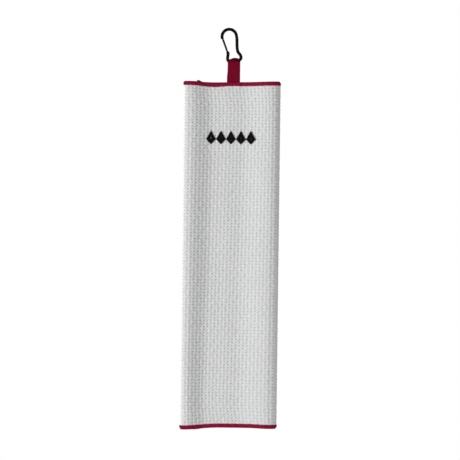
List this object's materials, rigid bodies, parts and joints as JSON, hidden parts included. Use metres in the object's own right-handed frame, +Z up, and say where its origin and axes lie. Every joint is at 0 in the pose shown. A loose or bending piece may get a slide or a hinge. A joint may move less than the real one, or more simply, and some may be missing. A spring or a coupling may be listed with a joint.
{
  "type": "golf towel",
  "caption": "Waffle-weave golf towel folded in three lengthwise, with taped edges, an embroidered diamond band, a webbing loop and a small gated snap hook to hang it by.",
  "frame": {"origin": "the point inside the top of the snap hook that rests on whatever the hook is clipped to, with the towel hanging", "axes": "+Z up along the length of the towel, +X to the right as the front is seen, -Y out of the front, so +Y goes through the folded layers to the back"},
  "size_m": [0.1439, 0.0138, 0.5872],
  "materials": {
    "waffle_cloth": "matte",
    "crimson_tape": "matte",
    "crimson_webbing": "matte",
    "black_thread": "satin",
    "black_anodised": "satin",
    "bright_steel": "satin"
  },
  "bodies": {
    "hook": {"carabiner_body": "black_anodised", "gate_rivet": "black_anodised", "gate_spring": "bright_steel"},
    "gate": {"carabiner_gate": "black_anodised"},
    "strap": {"strap_loop": "crimson_webbing"},
    "towel": {"strap_ends": "crimson_webbing", "front_panel": "waffle_cloth", "front_top_binding": "crimson_tape", "front_bottom_binding": "crimson_tape", "emblem_embroidery": "black_thread"},
    "inner": {"inner_flap": "waffle_cloth", "inner_flap_top_binding": "crimson_tape", "inner_flap_bottom_binding": "crimson_tape", "inner_flap_edge_binding": "crimson_tape", "left_fold": "waffle_cloth", "left_fold_top_binding": "crimson_tape", "left_fold_bottom_binding": "crimson_tape"},
    "outer": {"outer_flap": "waffle_cloth", "outer_flap_top_binding": "crimson_tape", "outer_flap_bottom_binding": "crimson_tape", "outer_flap_edge_binding": "crimson_tape", "right_fold": "waffle_cloth", "right_fold_top_binding": "crimson_tape", "right_fold_bottom_binding": "crimson_tape"}
  },
  "joints": [
    {"name": "gate_hinge", "type": "hinge", "parent": "hook", "child": "gate", "pos_m": [-0.00174, 0, -0.03295], "axis": [0, 1, 0], "range_deg": [0, 38], "stiffness_Nm_per_rad": 0.03, "springref_deg": -40.11, "deforming": ["gate_spring"]},
    {"name": "strap_tilt", "type": "hinge", "parent": "hook", "child": "strap", "pos_m": [0.00907, 0, -0.04489], "axis": [0, -1, 0], "range_deg": [0, 28]},
    {"name": "towel_swing", "type": "hinge", "parent": "strap", "child": "towel", "pos_m": [0.0074, 0, -0.0734], "axis": [1, 0, 0], "range_deg": [-90, 90]},
    {"name": "inner_flap_fold", "type": "hinge", "parent": "towel", "child": "inner", "pos_m": [-0.06577, 0.00205, -0.329], "axis": [0, 0, 1], "range_deg": [0, 180], "deforming": ["left_fold", "left_fold_top_binding", "left_fold_bottom_binding", "inner_flap", "inner_flap_top_binding", "inner_flap_bottom_binding", "inner_flap_edge_binding"]},
    {"name": "outer_flap_fold", "type": "hinge", "parent": "towel", "child": "outer", "pos_m": [0.07754, 0.0041, -0.329], "axis": [0, 0, -1], "range_deg": [0, 180], "deforming": ["right_fold", "right_fold_top_binding", "right_fold_bottom_binding"]}
  ]
}
